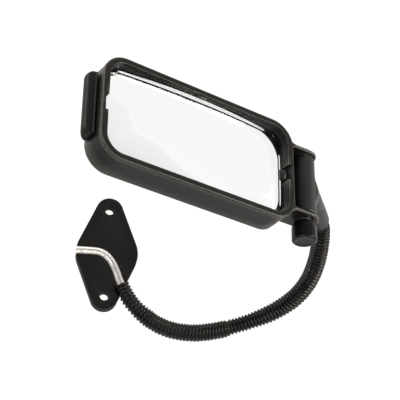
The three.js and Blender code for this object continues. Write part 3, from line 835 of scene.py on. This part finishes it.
# ------------------------------------------------------------------ bare end of the aluminium rod
def build_rod():
    n = 72
    s0, s1 = 0.0, 121.4
    s = np.r_[np.array([0.0, 0.12, 0.35, 0.6]), np.arange(0.9, 46, 0.22), np.arange(46, 70, 1.0), np.arange(70, s1, 3.0), s1 - 0.3, s1]
    c, t, nn, b = frames(s)
    phi = np.linspace(0, 2 * math.pi, n, endpoint=False)
    loops = []
    for i, si in enumerate(s):
        r = np.full(n, 3.98)
        amp = 0.46 * min(1, max(0.0, (si - 0.8) / 2)) * min(1, max(0.0, (41.5 - si) / 4.0))
        if amp > 0:
            # pressed strokes across the exposed flank, with finer diamonds beside them
            u = si / 1.55
            k = 11.0
            wv = phi * k / (2 * math.pi)
            p1 = np.abs(np.sin(math.pi * (u * 0.5 + wv)))
            p2 = np.abs(np.sin(math.pi * (u * 0.5 - wv)))
            diamonds = 1 - np.clip(np.minimum(p1, p2) / 0.55, 0, 1)
            flank = np.exp(-((phi - 0.75) / 0.42) ** 2)
            stroke = flank * np.clip(1.6 * math.cos(2 * math.pi * si / 1.9 + 0.4 * math.sin(si)) - 0.4, 0, 1)
            dent = np.maximum(0.55 * diamonds, 1.25 * stroke)
            jit = 0.8 + 0.2 * np.sin(si * 2.1 + 3 * phi)
            r = r - amp * dent * jit
        e = min(si, s1 - si)
        if e < 0.6:
            r = r - 0.6 * (1 - math.sqrt(max(0.0, 1 - (1 - e / 0.6) ** 2)))
        loops.append(c[i] + r[:, None] * (np.cos(phi)[:, None] * nn[i] + np.sin(phi)[:, None] * b[i]))
    ob = solid("rod_bare_end", skin(loops))
    return place(ob, "row", "base", M_ALU, ["arm_rod_lower"], 60)


build_rod()


# ------------------------------------------------------------------ corrugated sleeve
def ease(x, a, b):
    t = np.clip((x - a) / (b - a), 0, 1)
    return t * t * (3 - 2 * t)


PITCH = ([60, 90, 104, 172, 184, 205, 280, 305, 335], [3.72, 3.66, 3.05, 3.02, 3.2, 3.3, 3.28, 2.98, 2.9])
PH_S = np.arange(55, 336, 0.05)
PH = np.cumsum(0.05 / np.interp(PH_S, *PITCH))


def phase(s):
    return np.interp(s, PH_S, PH)


def crest(s):
    return np.interp(s, [60, 88, 102, 112, 160, 176, 180.5, 200, 212, 240, 290, 312, 335],
                     [7.2, 7.4, 8.2, 8.75, 8.9, 8.8, 7.3, 7.5, 8.0, 8.35, 8.3, 8.2, 8.1])


def depth(s):
    return np.interp(s, [60, 92, 108, 174, 181, 202, 215, 290, 330], [1.6, 1.5, 0.95, 0.95, 1.6, 1.5, 1.25, 1.2, 1.1])


def lift(s):
    return 1.5 * ease(s, 98, 112) * (1 - ease(s, 177.5, 180))


def build_sleeve(name, s0, s1, ends, replaces):
    n = 60
    u = np.linspace(0, 1, n) * 0.994
    k0, k1 = phase(s0), phase(s1)
    per = 9
    ks = np.linspace(k0, k1, int(round((k1 - k0) * per)) + 1)
    s = np.interp(ks, PH, PH_S)
    c, t, nn, b = frames(s)
    edge = math.radians(-6.0)
    phi = edge + 2 * math.pi * u
    dirs = np.cos(phi)[None, :, None] * nn[:, None, :] + np.sin(phi)[None, :, None] * b[:, None, :]
    L = lift(s)[:, None]
    wob = 0.10 * np.sin(phase(s)[:, None] * 1.7 + 2 * phi[None, :]) + 0.07 * np.sin(phase(s)[:, None] * 0.61 + phi[None, :])
    ph = ks[:, None] + 0.5 * u[None, :] * (L / 1.5) + 0.05 * np.sin(phi[None, :] * 2 + ks[:, None] * 0.35)
    power = np.interp(s, [60, 92, 108, 174, 182, 205, 222, 335], [1.2, 1.3, 2.4, 2.4, 1.1, 1.2, 2.0, 2.0])[:, None]
    wave = 1 - 2 * (0.5 - 0.5 * np.cos(2 * math.pi * ph)) ** power
    r = crest(s)[:, None] - L * u[None, :] - depth(s)[:, None] * (0.5 - 0.5 * wave) + wob * 0.5
    outer = c[:, None, :] + dirs * r[..., None]
    inner_r = np.minimum(5.75, (crest(s) - lift(s) - depth(s))[:, None] - 0.45) + 0 * r
    inner = c[:, None, :] + dirs * inner_r[..., None]
    loops = [outer[i] for i in range(len(s))]
    sel = list(range(len(s) - 1, -1, -per))
    if sel[-1] != 0:
        sel.append(0)
    inner_loops = [inner[i] for i in sel]
    # rounded lips at the cut ends
    def lip(i, sign):
        a, q = outer[i], inner[i]
        mid = (a + q) / 2
        return [mid + (a - q) * 0.36 + sign * t[i] * 0.18, mid - (a - q) * 0.36 + sign * t[i] * 0.18]
    end_a, end_b = lip(0, -1), lip(len(s) - 1, 1)
    allloops = loops + end_b + inner_loops + [end_a[1], end_a[0]]
    v, f = skin(allloops, closed=True)
    ob = solid(name, (v, f))
    place(ob, "row", None, M_LOOM, replaces, 70)
    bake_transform(ob)
    return ob


build_sleeve("loom_front", 62.0, 181.0, None, ["sleeve_lower"])
build_sleeve("loom_rear", 181.0, 331.6, None, ["sleeve_middle", "sleeve_upper"])

# ------------------------------------------------------------------ carried-over metal and nylon pieces
FINISH = {
    "arm_rod_middle": M_ALU_IN, "arm_rod_upper": M_ALU_IN, "rod_cross_pin": M_STEEL, "barrel_bush": M_NYLON,
    "friction_washer_upper": M_NYLON, "friction_washer_lower": M_NYLON, "knob_washer": M_STEEL,
    "captive_nut": M_STEEL, "clamp_stud": M_STEEL, "knob_insert": M_BRASS,
}
for node_name, material in FINISH.items():
    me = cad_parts[node_name].data
    me.materials.clear()
    me.materials.append(material)

# ------------------------------------------------------------------ floor, light and camera
floor = new_object("floor", [(-4, -4, -0.0012), (4, -4, -0.0012), (4, 4, -0.0012), (-4, 4, -0.0012)], [(0, 1, 2, 3)])
fm = bpy.data.materials.new("floor")
fm.use_nodes = True
fb = fm.node_tree.nodes["Principled BSDF"]
fb.inputs["Base Color"].default_value = (0.02, 0.02, 0.02, 1)
fb.inputs["Roughness"].default_value = 0.9
fb.inputs["Specular IOR Level"].default_value = 0.1
fb.inputs["Emission Color"].default_value = (1.0, 0.965, 0.94, 1)
fb.inputs["Emission Strength"].default_value = 1.05
floor.data.materials.append(fm)

world = bpy.data.worlds.new("studio")
scene.world = world
world.use_nodes = True
wn = world.node_tree
wn.nodes.clear()
wo = node(wn, "ShaderNodeOutputWorld")
bg = node(wn, "ShaderNodeBackground")
# pale near the horizon, dim overhead
wt = node(wn, "ShaderNodeTexCoord")
wx = node(wn, "ShaderNodeSeparateXYZ")
wr = node(wn, "ShaderNodeMapRange", clamp=True)
wr.inputs["From Min"].default_value = 0.05
wr.inputs["From Max"].default_value = 0.85
wr.inputs["To Min"].default_value = 0.7
wr.inputs["To Max"].default_value = 0.14
wn.links.new(wt.outputs["Generated"], wx.inputs[0])
wn.links.new(wx.outputs["Z"], wr.inputs["Value"])
bg.inputs["Color"].default_value = (1.0, 0.985, 0.955, 1)
wn.links.new(wr.outputs[0], bg.inputs["Strength"])
wn.links.new(bg.outputs[0], wo.inputs[0])


def area(name, loc, target, size, power, size_y=None):
    d = bpy.data.lights.new(name, "AREA")
    d.energy = power
    d.size = size
    d.color = (1.0, 0.955, 0.9)
    if size_y:
        d.shape = "RECTANGLE"
        d.size_y = size_y
    o = bpy.data.objects.new(name, d)
    scene.collection.objects.link(o)
    o.location = loc
    o.rotation_mode = "QUATERNION"
    o.rotation_quaternion = (Vector(target) - Vector(loc)).to_track_quat("-Z", "Y")
    return o


area("right", (1.25, -0.05, 0.75), (0.14, 0, 0.14), 0.4, 22, 0.7)
area("left", (-0.95, 0.62, 0.68), (0.0, 0, 0.2), 0.4, 12, 0.6)
area("front", (0.90, -0.84, 0.52), (0.08, 0, 0.15), 0.3, 2.5, 0.4)
area("back", (0.25, 1.2, 0.7), (0.07, 0, 0.15), 1.0, 6, 0.4)
area("over", (-0.30, -0.95, 1.15), (0.08, -0.05, 0.03), 0.35, 9, 0.35)

cam_data = bpy.data.cameras.new("camera")
cam_data.sensor_width = 36.0
cam_data.lens = 36.0 * 1188.6 / 400.0
cam_data.clip_start, cam_data.clip_end = 0.05, 50.0
cam = bpy.data.objects.new("camera", cam_data)
scene.collection.objects.link(cam)
right = Vector((0.9851, 0.0269, 0.1700)).normalized()
back_ = Vector((-0.1432, -0.4201, 0.8961)).normalized()
up = back_.cross(right).normalized()
right = up.cross(back_).normalized()
cam.matrix_world = Matrix((
    (right.x, up.x, back_.x, -0.0775),
    (right.y, up.y, back_.y, -0.4159),
    (right.z, up.z, back_.z, 1.0302),
    (0, 0, 0, 1)))
scene.camera = cam

scene.view_settings.view_transform = "Standard"
scene.view_settings.look = "None"
